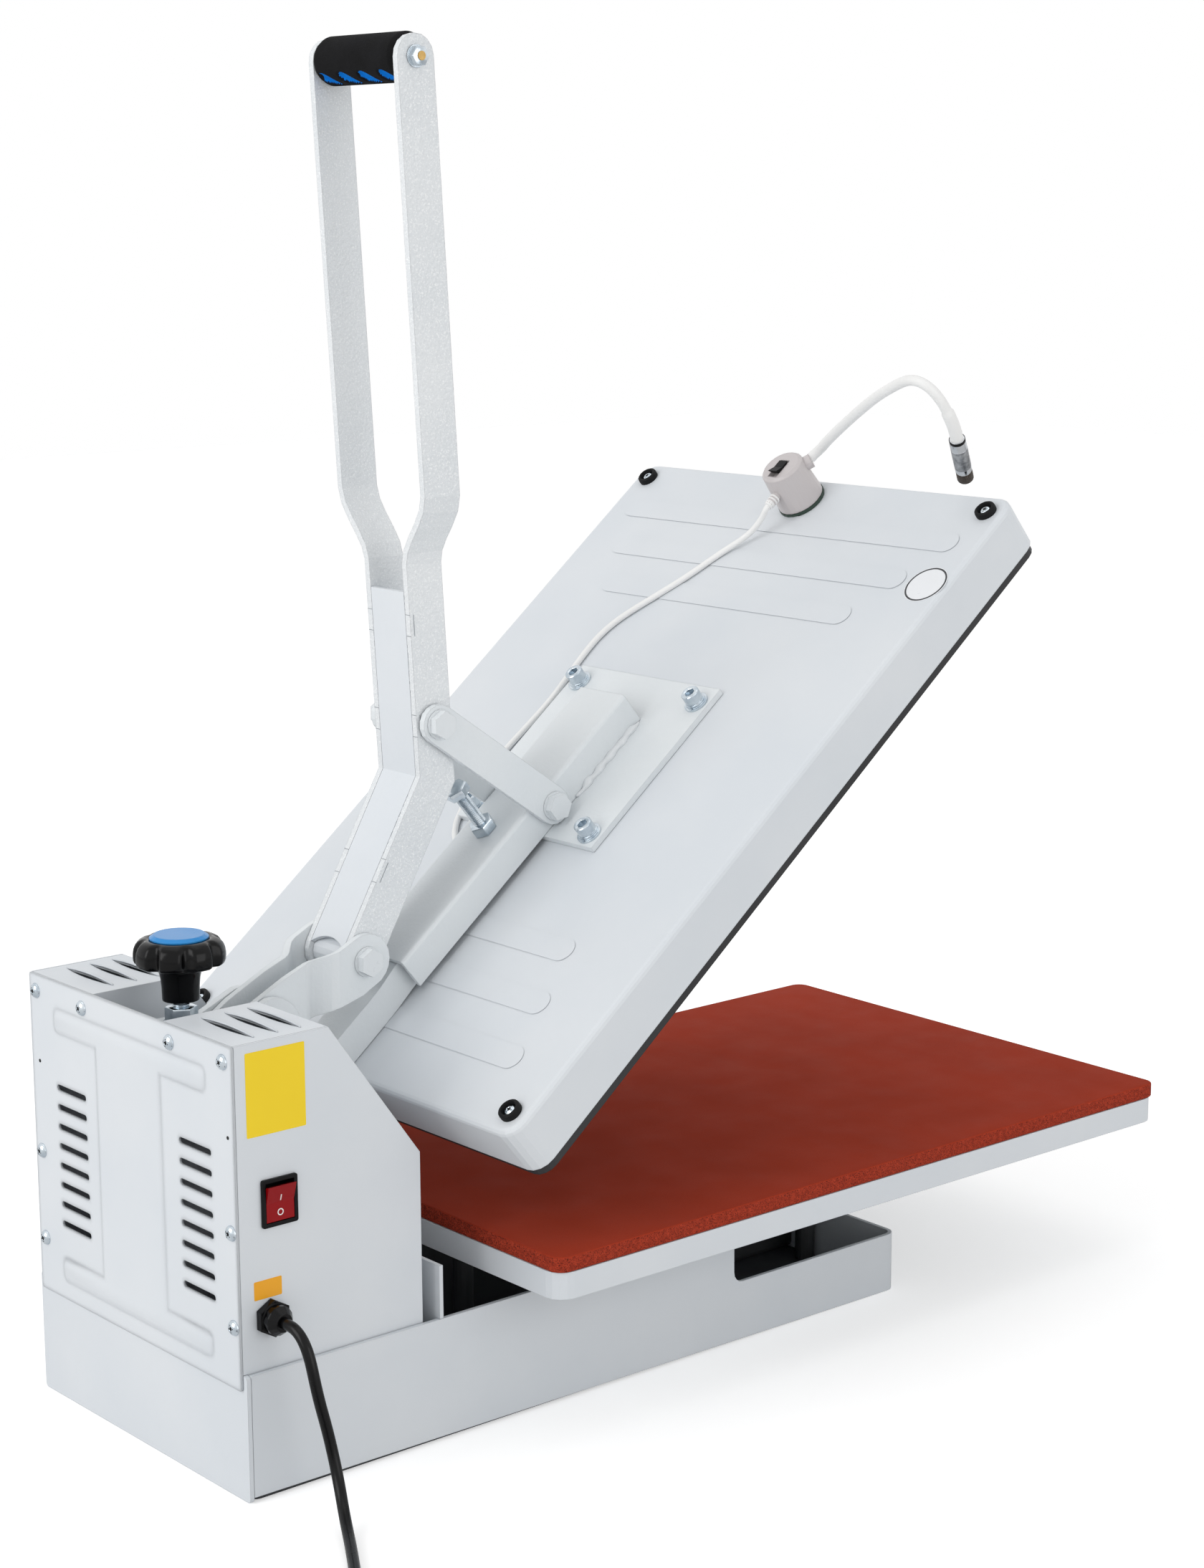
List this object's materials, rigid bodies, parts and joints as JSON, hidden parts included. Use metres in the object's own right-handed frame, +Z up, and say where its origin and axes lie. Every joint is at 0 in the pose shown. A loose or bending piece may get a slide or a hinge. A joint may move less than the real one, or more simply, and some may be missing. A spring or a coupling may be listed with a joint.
{
  "type": "dry mounting press",
  "caption": "Clamshell dry mounting press with flat 400 by 600 mm platens, toggle lever, pressure knob and a laser pointer lamp, shown open.",
  "frame": {"origin": "on the base's underside, on the centreline, half way along the base", "axes": "+Z up, -Y towards the operator, +X to the operator's right"},
  "size_m": [0.561, 0.9762, 0.9212],
  "materials": {
    "grey_paint": "satin powder coat",
    "arm_paint": "textured powder coat",
    "silicone": "matt silicone",
    "black_plastic": "moulded",
    "cable_sheath": "smooth",
    "blue_plastic": "moulded",
    "red_plastic": "translucent",
    "foam": "matt foam",
    "zinc": "zinc plated",
    "heat_alloy": "black coated",
    "lamp_plastic": "moulded",
    "green_plastic": "moulded",
    "neck_plastic": "smooth sleeve",
    "bright_metal": "polished",
    "fibre": "felted"
  },
  "bodies": {
    "base": {"base_frame": "grey_paint", "rear_plate": "grey_paint", "base_floor": "grey_paint", "spine": "grey_paint", "platen_rail_front": "grey_paint", "platen_rail_rear": "grey_paint", "lower_plate": "grey_paint", "lower_pad": "silicone", "cross_bracket": "grey_paint", "upright_left": "grey_paint", "upright_right": "grey_paint", "arm_pin": "zinc", "rocker_pin": "zinc", "screw_bracket": "grey_paint", "housing_shell": "grey_paint", "rear_cover": "grey_paint", "power_switch": "black_plastic", "cord_gland": "black_plastic", "controller": "black_plastic", "relay": "black_plastic", "lift_spring_left": "zinc", "lift_spring_right": "zinc", "mains_cord": "cable_sheath", "cord_coil": "cable_sheath", "plug": "black_plastic"},
    "switch_button": {"power_button": "red_plastic"},
    "knob": {"knob": "black_plastic", "knob_cap": "blue_plastic", "adjusting_screw": "zinc"},
    "rocker": {"rocker_left": "arm_paint", "rocker_right": "arm_paint", "lever_pin": "arm_paint"},
    "trunnion": {"trunnion_nut": "zinc"},
    "lever": {"lever_bar_left": "arm_paint", "lever_bar_right": "arm_paint", "lever_web": "arm_paint", "lever_barrel": "arm_paint", "grip_rod": "bright_metal", "grip": "foam"},
    "arm": {"arm_tube": "arm_paint", "arm_channel": "arm_paint", "mounting_plate": "arm_paint", "link_pin": "arm_paint", "stop_bolt": "zinc", "upper_cover": "grey_paint", "heat_plate": "heat_alloy", "heating_element": "zinc", "insulation": "fibre", "lamp_ring": "green_plastic", "lamp_body": "lamp_plastic", "gooseneck": "neck_plastic", "laser_head": "bright_metal", "lamp_cable": "neck_plastic"},
    "link": {"link_left": "arm_paint", "link_right": "arm_paint", "link_bolt_left": "arm_paint", "link_bolt_right": "arm_paint"},
    "lamp_switch": {"lamp_button": "black_plastic"}
  },
  "joints": [
    {"name": "arm_hinge", "type": "hinge", "parent": "base", "child": "arm", "pos_m": [0, 0.17615, 0.14795], "axis": [1, 0, 0], "range_deg": [0, 39.03], "deforming": ["lift_spring_left", "lift_spring_right"]},
    {"name": "rocker_hinge", "type": "hinge", "parent": "base", "child": "rocker", "pos_m": [0, 0.19475, 0.2715], "axis": [1, 0, 0], "range_deg": [-3.6, 0.95]},
    {"name": "lever_hinge", "type": "hinge", "parent": "rocker", "child": "lever", "pos_m": [0, 0.12225, 0.308], "axis": [1, 0, 0], "range_deg": [0, 89.23]},
    {"name": "link_hinge", "type": "hinge", "parent": "arm", "child": "link", "pos_m": [0, -0.04238, 0.39352], "axis": [1, 0, 0], "range_deg": [-52.6, 0.5]},
    {"name": "knob_turn", "type": "hinge", "parent": "base", "child": "knob", "pos_m": [0, 0.25175, 0.327], "axis": [0, 0, 1], "range_deg": [-180, 720]},
    {"name": "trunnion_hinge", "type": "hinge", "parent": "rocker", "child": "trunnion", "pos_m": [0, 0.25175, 0.26], "axis": [1, 0, 0], "range_deg": [-0.95, 3.6]},
    {"name": "power_button_hinge", "type": "hinge", "parent": "base", "child": "switch_button", "pos_m": [-0.1238, 0.26225, 0.195], "axis": [0, 1, 0], "range_deg": [0, 16]},
    {"name": "lamp_button_hinge", "type": "hinge", "parent": "arm", "child": "lamp_switch", "pos_m": [0, -0.28768, 0.61464], "axis": [1, 0, 0], "range_deg": [-18, 0]}
  ],
  "couplings": [
    {"joint": "arm_hinge", "follows": "lever_hinge", "ratio": 0.43741},
    {"joint": "link_hinge", "follows": "lever_hinge", "ratio": -0.58721},
    {"joint": "rocker_hinge", "follows": "knob_turn", "ratio": -0.004886},
    {"joint": "trunnion_hinge", "follows": "knob_turn", "ratio": 0.004886}
  ]
}
